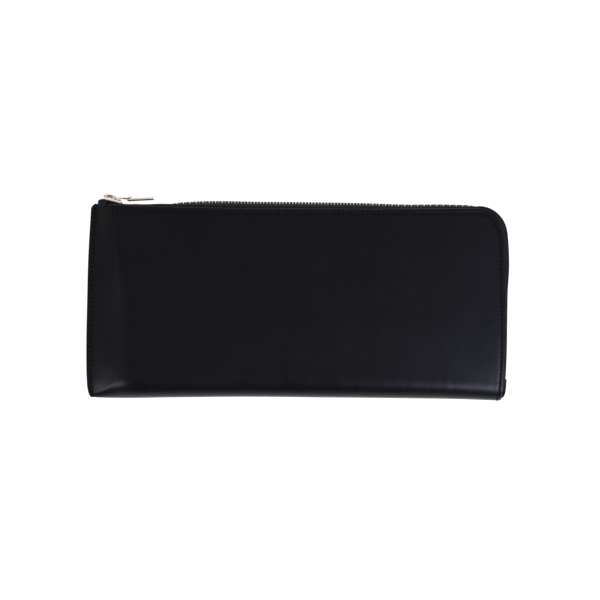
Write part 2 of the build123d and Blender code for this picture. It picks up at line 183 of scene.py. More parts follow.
def graded(low, high, margins, spacing, extra=()):
    """Places from low to high: close together at each end by the given insets, then evenly spaced."""
    first = low + margins[0][-1] if margins[0] else low
    last = high - margins[1][-1] if margins[1] else high
    count = max(2, int(round((last - first) / spacing)))
    places = [low + m for m in margins[0]] + [high - m for m in margins[1]]
    places += list(np.linspace(first, last, count + 1)) + [e for e in extra if low < e < high]
    return np.unique(np.round(np.array(places), 7))


def rounded_corners(x, s, x_low, x_high, s_low, s_high, radius_left, radius_right):
    """Turns the square corners of a grid on the pattern round, keeping its rows parallel to the edge."""
    x, s = np.meshgrid(x, s, indexing="ij")
    for x_end, x_way, radius in ((x_high, 1, radius_right), (x_low, -1, radius_left)):
        for s_end, s_way in ((s_high, 1), (s_low, -1)):
            centre_x, centre_s = x_end - x_way * radius, s_end - s_way * radius
            a = np.clip(x_way * (x - centre_x) / radius, 0, 1)
            b = np.clip(s_way * (s - centre_s) / radius, 0, 1)
            ring = np.maximum(np.maximum(a, b), 1e-9)
            angle = np.where(a >= b, b / ring * pi / 4, pi / 2 - a / ring * pi / 4)
            corner = (a > 0) & (b > 0)
            x = np.where(corner, centre_x + x_way * radius * ring * np.cos(angle), x)
            s = np.where(corner, centre_s + s_way * radius * ring * np.sin(angle), s)
    return x, s


def closed_sheet(name, outside, inside, pattern=None):
    """A closed mesh between two (rows, columns, 3) grids of points, with the pattern's places as its UVs."""
    rows, columns = outside.shape[:2]
    number = np.arange(rows * columns).reshape(rows, columns)
    quads = np.stack([number[:-1, :-1], number[1:, :-1], number[1:, 1:], number[:-1, 1:]], -1).reshape(-1, 4)
    border = np.concatenate([number[:, 0], number[-1, 1:], number[-2::-1, -1], number[0, -2:0:-1]])
    following = np.roll(border, -1)
    under = rows * columns
    rim = np.stack([border, border + under, following + under, following], -1)
    faces = np.concatenate([quads, quads[:, ::-1] + under, rim])
    points = np.concatenate([outside.reshape(-1, 3), inside.reshape(-1, 3)])
    mesh = bpy.data.meshes.new(name)
    mesh.from_pydata(points.tolist(), [], faces.tolist())
    if pattern is not None:
        flat = np.concatenate([pattern.reshape(-1, 2)] * 2)
        layer = mesh.uv_layers.new(name="pattern")
        corner = np.zeros(len(mesh.loops), int)
        mesh.loops.foreach_get("vertex_index", corner)
        layer.data.foreach_set("uv", flat[corner].ravel())
    mesh.validate()
    fix = bmesh.new()
    fix.from_mesh(mesh)
    bmesh.ops.remove_doubles(fix, verts=fix.verts, dist=1e-6)
    bmesh.ops.recalc_face_normals(fix, faces=fix.faces)
    fix.to_mesh(mesh)
    fix.free()
    mesh.shade_smooth()
    piece = bpy.data.objects.new(name, mesh)
    bpy.context.scene.collection.objects.link(piece)
    return piece


EDGE_ROWS = [m * MM for m in (0, 0.06, 0.16, 0.3, 0.55, 0.9, 1.3, 1.6, 1.8, 2.0, 2.2, 2.4, 2.8, 4, 6, 9, 12)]
FLARE_ROWS = X_LEFT + np.arange(12, 60, 1.5) * MM
FOLD_ROWS = list(np.linspace(S_BACK, S_FRONT, 29))
ROW_STEP = 2.5 * MM
GROOVE_DEPTH, GROOVE_HALF = 0.12 * MM, 0.4 * MM  # the seam lies in a shallow groove


def leather_layer(name, over, under, zip_inset=0.0, left_inset=0.0, front=True, edge_round=0.0, groove=0.0):
    """One layer of a cover between two depths; the front one carries the fold."""
    x_low, x_high = X_LEFT + left_inset, X_RIGHT - zip_inset
    s_low, s_high = zip_inset, S_END - zip_inset
    inside_rows = [m for m in EDGE_ROWS if m <= CORNER_RADIUS - zip_inset]
    xs = graded(x_low, x_high, (inside_rows, inside_rows), ROW_STEP, FLARE_ROWS)
    if front:
        ss = graded(S_BACK, s_high, ([], inside_rows), ROW_STEP, FOLD_ROWS)
    else:
        ss = graded(s_low, S_BACK, (inside_rows, []), ROW_STEP)
    radius_right = max(CORNER_RADIUS - zip_inset, 1 * MM)
    x, s = np.meshgrid(xs, ss, indexing="ij")
    from_edge = np.minimum(np.minimum(x - x_low, x_high - x), np.minimum(s - s_low, s_high - s))
    x, s = rounded_corners(xs, ss, x_low, x_high, s_low, s_high, SEWN_CORNER, radius_right)
    short = np.clip(edge_round - from_edge, 0, None)
    rounding = edge_round - np.sqrt(np.clip(edge_round**2 - short**2, 0, None))
    by_top = front & (s_high - s < 2 * STITCH_INSET) & (x - x_low > 2 * STITCH_INSET)
    seam = STITCH_INSET + np.where(by_top, seam_wander(x), 0.0)
    dip = groove * np.exp(-(((from_edge - seam) / GROOVE_HALF) ** 2))
    outside, _ = cover_point(x, s, over + rounding + dip)
    inside, _ = cover_point(x, s, under - rounding)
    return closed_sheet(name, outside, inside, np.stack([x, s], -1) * 10)


def bend_with_mouth(piece, nodes=()):
    """Bakes the piece's placing into its mesh and hides the nodes that it stands in for."""
    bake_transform(piece)
    if nodes:
        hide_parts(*nodes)


def stay(piece, nodes=(), body="root"):
    """The piece is carried by one body."""
    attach(piece, body)
    if nodes:
        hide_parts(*nodes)


def new_material(name, color, roughness, **sockets):
    """A Principled material; returns it with its nodes, links and shader for more work."""
    material = bpy.data.materials.new(name)
    material.use_nodes = True
    nodes, links = material.node_tree.nodes, material.node_tree.links
    shader = nodes["Principled BSDF"]
    shader.inputs["Base Color"].default_value = (*color, 1)
    shader.inputs["Roughness"].default_value = roughness
    for socket, value in sockets.items():
        shader.inputs[socket.replace("_", " ")].default_value = value
    return material, nodes, links, shader


def add_noise(nodes, links, scale, detail=3.0, stretch=(1, 1, 1)):
    """A noise texture on the piece's own coordinates, with features about 1/scale metres apart."""
    place = nodes.new("ShaderNodeTexCoord")
    mapping = nodes.new("ShaderNodeMapping")
    mapping.inputs["Scale"].default_value = stretch
    noise = nodes.new("ShaderNodeTexNoise")
    noise.inputs["Scale"].default_value = scale
    noise.inputs["Detail"].default_value = detail
    links.new(place.outputs["Object"], mapping.inputs["Vector"])
    links.new(mapping.outputs["Vector"], noise.inputs["Vector"])
    return noise.outputs["Fac"]


def ramp(nodes, links, source, low, high):
    """Spreads a 0..1 value over low..high."""
    spread = nodes.new("ShaderNodeMapRange")
    spread.inputs["From Min"].default_value = 0.3
    spread.inputs["From Max"].default_value = 0.7
    spread.inputs["To Min"].default_value = low
    spread.inputs["To Max"].default_value = high
    links.new(source, spread.inputs["Value"])
    return spread.outputs["Result"]


def add_bump(nodes, links, shader, heights):
    """Adds (height output, distance in metres) pairs as bumps, one over the other."""
    last = None
    for height, distance in heights:
        bump = nodes.new("ShaderNodeBump")
        bump.inputs["Strength"].default_value = 1.0
        bump.inputs["Distance"].default_value = distance
        links.new(height, bump.inputs["Height"])
        if last:
            links.new(last, bump.inputs["Normal"])
        last = bump.outputs["Normal"]
    links.new(last, shader.inputs["Normal"])


def mixed_color(nodes, links, shader, factor, dark, light):
    """The base colour wanders between two shades."""
    mix = nodes.new("ShaderNodeMix")
    mix.data_type = "RGBA"
    mix.inputs["A"].default_value = (*dark, 1)
    mix.inputs["B"].default_value = (*light, 1)
    links.new(factor, mix.inputs["Factor"])
    links.new(mix.outputs["Result"], shader.inputs["Base Color"])


def calf_leather():
    """Box-glazed black calf: faint pores, faint creasing, gloss that wanders a little."""
    material, nodes, links, shader = new_material("glazed_calf", (0.0022, 0.0022, 0.0024), 0.28)
    shader.inputs["Specular IOR Level"].default_value = 0.11
    cloudy = add_noise(nodes, links, 38, 4)
    mixed_color(nodes, links, shader, cloudy, (0.0017, 0.0017, 0.0021), (0.0026, 0.0026, 0.0032))
    gloss = add_noise(nodes, links, 120, 5)
    links.new(ramp(nodes, links, gloss, 0.25, 0.30), shader.inputs["Roughness"])
    grain = add_noise(nodes, links, 2600, 2)
    pull_up = add_noise(nodes, links, 90, 2, (1, 0.5, 1))
    add_bump(nodes, links, shader, [(pull_up, 0.00022), (grain, 0.000016)])
    return material


CALF = calf_leather()
hide_front = leather_layer("hide_front", 0, HIDE, edge_round=EDGE_ROUND, groove=GROOVE_DEPTH)
hide_front.data.materials.append(CALF)
bend_with_mouth(hide_front, ["outer_hide_mouth"])
hide_back = leather_layer("hide_back", 0, HIDE, front=False, edge_round=EDGE_ROUND, groove=GROOVE_DEPTH)
hide_back.data.materials.append(CALF)
stay(hide_back, ["outer_hide"])

# ---- The painted edge ----------------------------------------------------------------------------
# Two coats of glossy black edge paint along the hide's cut edge, from one top corner round to the other.
# The paint stands a little proud of the leather, so its rim catches the light.
PAINT_RADIUS = 0.42 * MM


def edge_places(inset, start, end, step):
    """Places on the pattern along the zipped edge, from the back cover's top left to the front's."""
    radius = CORNER_RADIUS - inset
    top = X_RIGHT - CORNER_RADIUS - X_LEFT - inset
    side = S_END - 2 * CORNER_RADIUS
    bend = radius * pi / 2
    whole = 2 * top + side + 2 * bend
    places = []
    corner_x, corner_s = X_RIGHT - CORNER_RADIUS, S_END - CORNER_RADIUS
    count = max(2, int(round((whole - start - end) / step)))
    for distance in np.linspace(start, whole - end, count + 1):
        if distance < top:
            places.append((X_LEFT + inset + distance, inset))
        elif distance < top + bend:
            turn = (distance - top) / radius
            places.append((corner_x + radius * sin(turn), CORNER_RADIUS - radius * cos(turn)))
        elif distance < top + bend + side:
            places.append((X_RIGHT - inset, CORNER_RADIUS + distance - top - bend))
        elif distance < top + 2 * bend + side:
            turn = (distance - top - bend - side) / radius
            places.append((corner_x + radius * cos(turn), corner_s + radius * sin(turn)))
        else:
            places.append((whole - distance + X_LEFT + inset, S_END - inset))
    return np.array(places)


def ring_faces(loops, closed):
    """Faces joining equal loops of points one to the next."""
    number = np.arange(len(loops) * len(loops[0])).reshape(len(loops), -1)
    ahead = np.roll(number, -1, axis=1)
    pairs = list(zip(number, np.roll(number, -1, axis=0), ahead, np.roll(ahead, -1, axis=0)))
    faces = []
    for low, high, low_ahead, high_ahead in pairs if closed else pairs[:-1]:
        faces += np.stack([low, low_ahead, high_ahead, high], -1).tolist()
    if not closed:
        faces += [number[0, ::-1].tolist(), number[-1].tolist()]
    return np.concatenate(loops), faces


def tube(centres, radius, sides=8, flatten=1.0, ups=None, taper=None):
    """A closed tube along a line of points."""
    centres = np.asarray(centres, float)
    ahead = np.gradient(centres, axis=0)
    ahead /= np.linalg.norm(ahead, axis=1, keepdims=True)
    ups = np.broadcast_to(np.array([0, 0, 1.0]) if ups is None else ups, centres.shape)
    side = np.cross(ahead, ups)
    side /= np.linalg.norm(side, axis=1, keepdims=True)
    up = np.cross(side, ahead)
    size = np.ones(len(centres)) if taper is None else np.asarray(taper)
    turn = np.arange(sides) * 2 * pi / sides
    ring = side[:, None] * np.cos(turn)[:, None] + up[:, None] * np.sin(turn)[:, None] * flatten
    points = centres[:, None] + ring * radius * size[:, None, None]
    return ring_faces(points, False)


def piece_from(name, parts):
    """One object from (points, faces) lots."""
    points, faces, start = [], [], 0
    for lot_points, lot_faces in parts:
        points.append(lot_points)
        faces += [[start + i for i in face] for face in lot_faces]
        start += len(lot_points)
    mesh = bpy.data.meshes.new(name)
    mesh.from_pydata(np.concatenate(points).tolist(), [], faces)
    mesh.validate()
    fix = bmesh.new()
    fix.from_mesh(mesh)
    bmesh.ops.recalc_face_normals(fix, faces=fix.faces)
    fix.to_mesh(mesh)
    fix.free()
    mesh.shade_smooth()
    piece = bpy.data.objects.new(name, mesh)
    bpy.context.scene.collection.objects.link(piece)
    return piece


def edge_paint():
    """Acrylic edge paint: blacker and glossier than the leather, with faint brush waves."""
    material, nodes, links, shader = new_material("edge_paint", (0.003, 0.003, 0.0034), 0.3)
    shader.inputs["Specular IOR Level"].default_value = 0.13
    waves = add_noise(nodes, links, 900, 2)
    add_bump(nodes, links, shader, [(waves, 0.00003)])
    return material


EDGE_PAINT = edge_paint()
painted = edge_places(0.12 * MM, 1.5 * MM, 1.5 * MM, 1.2 * MM)
on_front = painted[:, 1] > S_BACK
for name, chosen in (("edge_paint_front", on_front), ("edge_paint_back", ~on_front)):
    centre, _ = cover_point(painted[chosen, 0], painted[chosen, 1], HIDE / 2)
    _, facing = cover_point(painted[chosen, 0], painted[chosen, 1])
    rim = piece_from(name, [tube(centre, PAINT_RADIUS, 10, 1.5, facing)])
    rim.data.materials.append(EDGE_PAINT)
    if name.endswith("front"):
        bend_with_mouth(rim, [])
    else:
        stay(rim, [])

# ---- The stiffener boards ------------------------------------------------------------------------
# Thin bonded-fibre board glued inside each cover, butted against the sewn edge of the zip's tape.
# It keeps the covers flat between their sewn edges.
TAPE_SEWN = 9.0 * MM


def fibre_board():
    """Grey-brown bonded fibre, matte."""
    material, nodes, links, shader = new_material("fibre_board", (0.09, 0.08, 0.07), 0.9)
    flecks = add_noise(nodes, links, 1500, 3)
    mixed_color(nodes, links, shader, flecks, (0.07, 0.062, 0.055), (0.13, 0.118, 0.10))
    return material


BOARD_FIBRE = fibre_board()
glue = 0.03 * MM
board_front = leather_layer("board_front", HIDE + glue, HIDE + BOARD - glue, TAPE_SEWN, 3 * MM)
board_front.data.materials.append(BOARD_FIBRE)
bend_with_mouth(board_front, ["stiffener_board_mouth"])
board_back = leather_layer("board_back", HIDE + glue, HIDE + BOARD - glue, TAPE_SEWN, 3 * MM, front=False)
board_back.data.materials.append(BOARD_FIBRE)
stay(board_back, ["stiffener_board"])

# ---- The lining ----------------------------------------------------------------------------------
# Half-millimetre black pigskin split with its three-pore grain, glued over board and tape.
# It stops 1.2 mm short of the zipped edges, so the same stitching goes through it.
LINING_INSET = STITCH_INSET - 0.8 * MM


def split_lining():
    """Matte black lining leather with small grouped pores."""
    material, nodes, links, shader = new_material("split_lining", (0.014, 0.013, 0.013), 0.62)
    cloudy = add_noise(nodes, links, 60, 4)
    mixed_color(nodes, links, shader, cloudy, (0.010, 0.0095, 0.0095), (0.020, 0.019, 0.0185))
    place = nodes.new("ShaderNodeTexCoord")
    pores = nodes.new("ShaderNodeTexVoronoi")
    pores.inputs["Scale"].default_value = 950
    links.new(place.outputs["Object"], pores.inputs["Vector"])
    add_bump(nodes, links, shader, [(pores.outputs["Distance"], 0.00008)])
    return material


LINING_SPLIT = split_lining()
lining_depths = HIDE + BOARD + glue, HIDE + BOARD + LINING
lining_front = leather_layer("lining_front", *lining_depths, LINING_INSET, 0.3 * MM, edge_round=0.15 * MM)
lining_front.data.materials.append(LINING_SPLIT)
bend_with_mouth(lining_front, ["lining_mouth"])
lining_back = leather_layer("lining_back", *lining_depths, LINING_INSET, 0.3 * MM, False, 0.15 * MM)
lining_back.data.materials.append(LINING_SPLIT)
stay(lining_back, ["lining"])

# ---- The seam thread -----------------------------------------------------------------------------
# Bonded black polyester in a lockstitch at 1.9 mm, 2 mm in from the edge: it holds the zip round the two
# covers and closes the left edge. Each stitch dives into the needle hole that it shares with the next.
STITCH_PITCH = 1.88 * MM
THREAD_RADIUS = 0.24 * MM
HOLE_RADIUS, HOLE_RIM, HOLE_BED = 0.46 * MM, 0.16 * MM, 0.1 * MM
SEWN_HOLES = 46  # needle holes down the left edge


def stitch_line(places):
    """(threads, hole shades) along a line of places on the pattern, one place for each needle hole."""
    threads, holes = [], []
    steps = np.linspace(0.1, 0.9, 7)
    lift = THREAD_RADIUS * (1.5 * np.sin(steps * pi) - 1.0)
    for here, ahead in zip(places[:-1], places[1:]):
        way = here + (ahead - here) * steps[:, None]
        centre, normal = cover_point(way[:, 0], way[:, 1], GROOVE_DEPTH - lift)
        threads.append(tube(centre, THREAD_RADIUS, 7, 1.0, normal, 0.62 + 0.38 * np.sin(steps * pi)))
    # At each needle hole, a small near-black cone: painted shade for the hole.
    around = np.arange(8) * pi / 4
    for place in places:
        bottom, normal = cover_point(place[0], place[1], GROOVE_DEPTH + 0.02 * MM)
        first = np.cross(normal, [0.0, 0.6, 0.8])
        first /= np.linalg.norm(first)
        second = np.cross(normal, first)
        rim = bottom + normal * HOLE_RIM
        ring = rim + HOLE_RADIUS * (np.cos(around)[:, None] * first + np.sin(around)[:, None] * second)
        bed = bottom - normal * HOLE_BED
        faces = [[i, (i + 1) % 8, 8] for i in range(8)] + [[(i + 1) % 8, i, 9] for i in range(8)]
        holes.append((np.concatenate([ring, [bottom], [bed]]), faces))
    return threads, holes


def bonded_thread():
    """Waxed black thread, twisted: the ply shows as fine slanting ridges."""
    material, nodes, links, shader = new_material("bonded_thread", (0.004, 0.004, 0.0042), 0.72)
    shader.inputs["Specular IOR Level"].default_value = 0.12
    twist = add_noise(nodes, links, 2200, 2)
    add_bump(nodes, links, shader, [(twist, 0.00006)])
    mixed_color(nodes, links, shader, twist, (0.0028, 0.0028, 0.003), (0.006, 0.006, 0.0064))
    return material


def needle_hole_shade():
    """Painted shade for the inside of a needle hole: near-black, with faint random flecks."""
    material, nodes, links, shader = new_material("needle_hole_shade", (0.0008, 0.0008, 0.0008), 0.95)
    shader.inputs["Specular IOR Level"].default_value = 0.02
    fuzz = add_noise(nodes, links, 3000, 1)
    mixed_color(nodes, links, shader, fuzz, (0.0004, 0.0004, 0.0004), (0.0014, 0.0014, 0.0014))
    return material


THREAD = bonded_thread()
# The needle holes' shade is painted: a near-black material on small cones at the holes.
HOLE_SHADE = needle_hole_shade()
zip_seam = edge_places(STITCH_INSET, 7 * MM, 9.6 * MM, STITCH_PITCH)
lower = zip_seam[:, 1] > S_END - STITCH_INSET - MM  # the front's top row wanders in from the edge
zip_seam[:, 1] -= lower * seam_wander(zip_seam[:, 0])
split_at = int(np.searchsorted(zip_seam[:, 1], S_BACK + 2 * MM))
front_threads, front_hole_shades = stitch_line(zip_seam[split_at:])
back_threads, back_hole_shades = stitch_line(zip_seam[: split_at + 1])
for low, high in ((S_FRONT - 7 * MM, S_END - 2 * MM), (2 * MM, S_BACK + 7 * MM)):
    sewn_edge = np.stack([np.full(SEWN_HOLES, X_LEFT + STITCH_INSET), np.linspace(low, high, SEWN_HOLES)], -1)
    more_threads, more_hole_shades = stitch_line(sewn_edge)
    back_threads += more_threads
    back_hole_shades += more_hole_shades
thread_front = piece_from("seam_thread_front_run", front_threads)
thread_back = piece_from("seam_thread_back_run", back_threads)
hole_shades_front = piece_from("needle_hole_shades_front", front_hole_shades)
hole_shades_back = piece_from("needle_hole_shades_back", back_hole_shades)
for piece in (thread_front, thread_back):
    piece.data.materials.append(THREAD)
for piece in (hole_shades_front, hole_shades_back):
    piece.data.materials.append(HOLE_SHADE)
bend_with_mouth(thread_front, ["seam_thread_mouth"])
bend_with_mouth(hole_shades_front, [])
stay(thread_back, ["seam_thread"])
stay(hole_shades_back, [])

# ---- The zip's tapes -----------------------------------------------------------------------------
# Two black woven polyester tapes, half a millimetre thick. Each is sewn under its cover's edge and
# arches out and over to meet the other at mid-thickness, where its corded edge carries the teeth.
TAPE_LOW, TAPE_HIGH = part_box("zip_tape_rear")
TAPE_HALF = 0.25 * MM
X_CHAIN, Y_CHAIN = TAPE_HIGH.x - TAPE_HALF, TAPE_HIGH.y - TAPE_HALF
CHAIN_RADIUS = 13 * MM
CHAIN_CENTRE = X_CHAIN - CHAIN_RADIUS, Y_CHAIN - CHAIN_RADIUS
TAPE_EDGE = 1.2 * MM
CHAIN_TOP = CHAIN_CENTRE[0] - TAPE_LOW.x
CHAIN_BEND = CHAIN_RADIUS * pi / 2
CHAIN_SIDE = CHAIN_CENTRE[1] - TAPE_LOW.y
CHAIN_WHOLE = CHAIN_TOP + CHAIN_BEND + CHAIN_SIDE
SEWN_INSETS = [m * MM for m in (8.6, 6.0, 3.5, 1.6, 0.9)]  # rows across the sewn part of the tape
SUNK_DEEP, SUNK_BY_SLIDER = 1.0 * MM, 0.9 * MM
chain_bow = soft_line(
    (-95, 1.5), (-92, 1.0), (-88, 0.25), (-82, -0.6), (-74, -0.95), (-62, -0.35), (-47, 0.6), (-15, 0.4),
    (34, -0.3), (50, -0.85), (72, -0.9), (87, -1.4),
)
chain_side_bow = soft_line((-46, -2.2), (-32, -1.5), (-8, -0.9), (6, -0.5), (16, 0.3), (27, 0.1), (34, -0.5))
# By the slider the tape puckers outward, over the slider's flank.
pucker = soft_line(
    (-95, 2.4), (-92, 3.6), (-89, 3.0), (-86, 2.2), (-82, 1.2), (-76, 0.5), (-68, 0.75), (-60, 0.6),
    (-52, 0.0), (99, 0.0),
)


def sunk(where, kind):
    """How far the chain lies back between the tapes: clear on the top run, hidden at the corner and side."""
    if kind is not None:
        return SUNK_DEEP
    by_slider = ease((where + 84 * MM) / (8 * MM)) * (1 - ease((where + 68 * MM) / (14 * MM)))
    return SUNK_BY_SLIDER * by_slider + SUNK_DEEP * ease((where - 80 * MM) / (10 * MM))


def chain_place(distance):
    """(point in the chain's line, outward direction, place on the front pattern's edge) along the zip."""
    if distance < CHAIN_TOP:
        x = TAPE_LOW.x + distance
        slope = (chain_bow(x + MM) - chain_bow(x - MM)) / (2 * MM)
        outward = np.array([-slope, 1.0, 0.0])
        outward /= np.linalg.norm(outward)
        chain = np.array([x, Y_CHAIN + chain_bow(x), Z_MID]) - outward * sunk(x, None)
        return chain, outward, (x, None)
    if distance < CHAIN_TOP + CHAIN_BEND:
        turn = (distance - CHAIN_TOP) / CHAIN_RADIUS
        share = turn / (pi / 2)
        ends = chain_bow(CHAIN_CENTRE[0]) * (1 - share) + chain_side_bow(CHAIN_CENTRE[1]) * share
        radius = CHAIN_RADIUS + ends - 0.3 * MM * sin(2 * turn) - sunk(None, turn)
        outward = np.array([sin(turn), cos(turn), 0.0])
        return np.array([*CHAIN_CENTRE, Z_MID]) + outward * radius, outward, (None, turn)
    y = CHAIN_CENTRE[1] - (distance - CHAIN_TOP - CHAIN_BEND)
    slope = (chain_side_bow(y + MM) - chain_side_bow(y - MM)) / (2 * MM)
    outward = np.array([1.0, -slope, 0.0])
    outward /= np.linalg.norm(outward)
    chain = np.array([X_CHAIN + chain_side_bow(y), y, Z_MID]) - outward * sunk(y, "side")
    return chain, outward, (y, "side")


def pattern_place(distance, inset, front):
    """The place on the pattern that lies inside the zip at that distance, inset from the cut edge."""
    _, _, (where, kind) = chain_place(distance)
    if kind is None:
        x, up = where, S_END - inset
    elif kind == "side":
        x, up = X_RIGHT - inset, S_FRONT + (where - Y_FOLD)
    else:
        radius = CORNER_RADIUS - inset
        x = X_RIGHT - CORNER_RADIUS + radius * sin(kind)
        up = S_END - CORNER_RADIUS + radius * cos(kind)
    return x, (up if front else S_END - up)


def tape_section(distance, front, offset):
    """Points across one tape, from its sewn edge to its corded edge, offset off its middle surface."""
    chain, outward, where = chain_place(distance)
    back = sunk(*where)
    way = 1 if front else -1
    points = []
    for inset in SEWN_INSETS:
        x, s = pattern_place(distance, inset, front)
        place, _ = cover_point(x, s, HIDE + TAPE_HALF - offset)
        points.append(place)
    sewn = points[-1]
    meet = chain + np.array([0, 0, way * TAPE_EDGE]) + outward * offset
    reach = max(np.dot(chain - sewn, outward), 0.0)
    puckered = pucker(chain[0]) if outward[1] > 0.7 else 0.0
    lead = sewn + outward * (1.1 * MM + 0.75 * reach + 1.6 * back + puckered)
    land = meet + np.array([0, 0, way * 4.8 * MM]) + outward * (0.5 * MM + 1.8 * back)
    for t in np.linspace(0, 1, 13)[1:]:
        early = sewn * (1 - t) ** 3 + lead * 3 * t * (1 - t) ** 2
        points.append(early + land * 3 * t * t * (1 - t) + meet * t**3)
    return points


def woven_tape():
    """Black herringbone tape: fine ribs across, broken into chevrons along."""
    material, nodes, links, shader = new_material("woven_tape", (0.004, 0.004, 0.0043), 0.85)
    shader.inputs["Specular IOR Level"].default_value = 0.2
    uv = nodes.new("ShaderNodeUVMap")
    uv.uv_map = "pattern"
    slant = nodes.new("ShaderNodeTexWave")
    slant.wave_type = "BANDS"
    slant.bands_direction = "DIAGONAL"
    slant.inputs["Scale"].default_value = 42
    ribs = nodes.new("ShaderNodeTexWave")
    ribs.bands_direction = "X"
    ribs.inputs["Scale"].default_value = 55
    for wave in (slant, ribs):
        links.new(uv.outputs["UV"], wave.inputs["Vector"])
    mixed_color(nodes, links, shader, slant.outputs["Fac"], (0.0026, 0.0026, 0.003), (0.006, 0.006, 0.0068))
    add_bump(nodes, links, shader, [(slant.outputs["Fac"], 0.00012), (ribs.outputs["Fac"], 0.00006)])
    return material


TAPE_WEAVE = woven_tape()
for name, front in (("zip_tape_front_weave", True), ("zip_tape_rear_weave", False)):
    stations = np.linspace(0, CHAIN_WHOLE, int(CHAIN_WHOLE / (1.6 * MM)))
    over = np.array([tape_section(d, front, TAPE_HALF) for d in stations])
    under = np.array([tape_section(d, front, -TAPE_HALF) for d in stations])
    across = np.linspace(0, 16 * MM, over.shape[1])
    flat = np.stack(np.broadcast_arrays(stations[:, None], across[None, :]), -1)
    tape = closed_sheet(name, over, under, flat * 10)
    tape.data.materials.append(TAPE_WEAVE)
    if front:
        bend_with_mouth(tape, ["zip_tape_front"])
    else:
        stay(tape, ["zip_tape_rear"])

# ---- The teeth -----------------------------------------------------------------------------------
# Stamped brass elements with a black oxide finish, clamped over the tape's corded edge at 3.05 mm a side.
# Each has two legs and a head, with a bump on one face of the head that seats in the next tooth.
TOOTH_PITCH = 3.05 * MM
TOOTH_WIDTH = 1.27 * MM
TOOTH_BEVEL, TOOTH_BUMP = 0.14 * MM, 0.36 * MM
REAR_ROW_OUT = 0.15 * MM  # the rear row stands this much proud of the front one
FIRST_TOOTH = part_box("zip_teeth_front")[0].x + TOOTH_WIDTH / 2 - TAPE_LOW.x


def tooth_shape():
    """One tooth at the origin: x outward, y from head to legs, z along the chain."""
    one_side = [
        (0.35, -0.95), (0.78, -0.72), (0.92, -0.2), (0.82, 0.35), (1.25, 0.95),
        (1.25, 2.5), (0.9, 2.9), (0.27, 2.9), (0.27, 1.2),
    ]
    outline = one_side + [(-x, y) for x, y in one_side[::-1]]
    mesh = bmesh.new()
    half = TOOTH_WIDTH / 2
    low = [mesh.verts.new((x * MM, y * MM, -half)) for x, y in outline]
    high = [mesh.verts.new((x * MM, y * MM, half)) for x, y in outline]
    mesh.faces.new(low[::-1])
    mesh.faces.new(high)
    for i in range(len(outline)):
        j = (i + 1) % len(outline)
        mesh.faces.new((low[i], low[j], high[j], high[i]))
    rims = [e for e in mesh.edges if abs(e.verts[0].co.z - e.verts[1].co.z) < 1e-9]
    bmesh.ops.bevel(mesh, geom=rims, offset=TOOTH_BEVEL, segments=2, profile=0.6, affect="EDGES")
    bump = bmesh.ops.create_uvsphere(mesh, u_segments=8, v_segments=5, radius=TOOTH_BUMP)["verts"]
    bmesh.ops.translate(mesh, verts=bump, vec=(0, -0.32 * MM, half - 0.05 * MM))
    bmesh.ops.recalc_face_normals(mesh, faces=mesh.faces)
    mesh.verts.index_update()
    points = np.array([v.co for v in mesh.verts])
    faces = [[v.index for v in f.verts] for f in mesh.faces]
    mesh.free()
    return points, faces


TOOTH = tooth_shape()


def teeth_row(front):
    """Every tooth of one row, standing square to the bowed chain."""
    lots = []
    start = FIRST_TOOTH if front else FIRST_TOOTH + TOOTH_PITCH / 2
    count = int((CHAIN_WHOLE - 2 * MM - TOOTH_PITCH - start) / TOOTH_PITCH) + 1
    way = 1 if front else -1
    for i in range(count):
        chain, outward, _ = chain_place(start + i * TOOTH_PITCH)
        up = np.array([0, 0, float(way)])
        along = np.cross(outward, up)
        if not front:
            chain = chain + outward * REAR_ROW_OUT
        lots.append((chain + TOOTH[0] @ np.stack([outward, up, along]), TOOTH[1]))
    return lots


def black_oxide():
    """Blackened brass: dark satin metal, worn a shade lighter where the slider rubs."""
    material, nodes, links, shader = new_material("black_oxide", (0.020, 0.0195, 0.020), 0.42, Metallic=0.7)
    shader.inputs["Specular IOR Level"].default_value = 0.2
    worn = add_noise(nodes, links, 500, 3)
    mixed_color(nodes, links, shader, worn, (0.011, 0.0108, 0.011), (0.032, 0.030, 0.029))
    links.new(ramp(nodes, links, worn, 0.30, 0.46), shader.inputs["Roughness"])
    return material


OXIDE = black_oxide()
ROWS = ("teeth_front_row", True, "zip_teeth_front"), ("teeth_rear_row", False, "zip_teeth_rear")
for name, front, node in ROWS:
    row = piece_from(name, teeth_row(front))
    row.data.materials.append(OXIDE)
    row.data.shade_flat()
    if front:
        bend_with_mouth(row, [node])
    else:
        stay(row, [node])


def moved_copy(node, turn, material, name):
    """The node's own shape, moved to where the bowed chain has it."""
    piece = frame["nodes"][node].copy()
    piece.data = piece.data.copy()
    piece.parent = None
    piece.name = name
    for key in list(piece.keys()):
        del piece[key]
    bpy.context.scene.collection.objects.link(piece)
    piece.data.transform(turn)
    piece.data.materials.clear()
    piece.data.materials.append(material)
    return piece


stops_low, stops_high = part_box("zip_top_stops")
rise = float(chain_bow((stops_low.x + stops_high.x) / 2))
top_stops = moved_copy("zip_top_stops", Matrix.Translation((0, rise, 0)), OXIDE, "top_stops")
stay(top_stops, ["zip_top_stops"])
end_low, end_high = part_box("zip_bottom_stop")
draw_in = float(chain_side_bow((end_low.y + end_high.y) / 2))
bottom_stop = moved_copy("zip_bottom_stop", Matrix.Translation((draw_in, 0, 0)), OXIDE, "bottom_stop")
stay(bottom_stop, ["zip_bottom_stop"])

# ---- The zip's ends ------------------------------------------------------------------------------
# Past the bottom stop the two tapes run on together, round the end of the fold, and are tucked in.
# At the slider's end each tape is folded back on itself, which leaves a small pad beside the slider.
TAIL = (
    (98.9, -36.5), (98.7, -39.5), (98.5, -42), (97.9, -44.2), (96.6, -45.3), (94.9, -45.0), (93.2, -43.4),
    (92, -41),
)
TAIL_HALF_WIDTH, TAIL_HALF = 2.6 * MM, 0.55 * MM


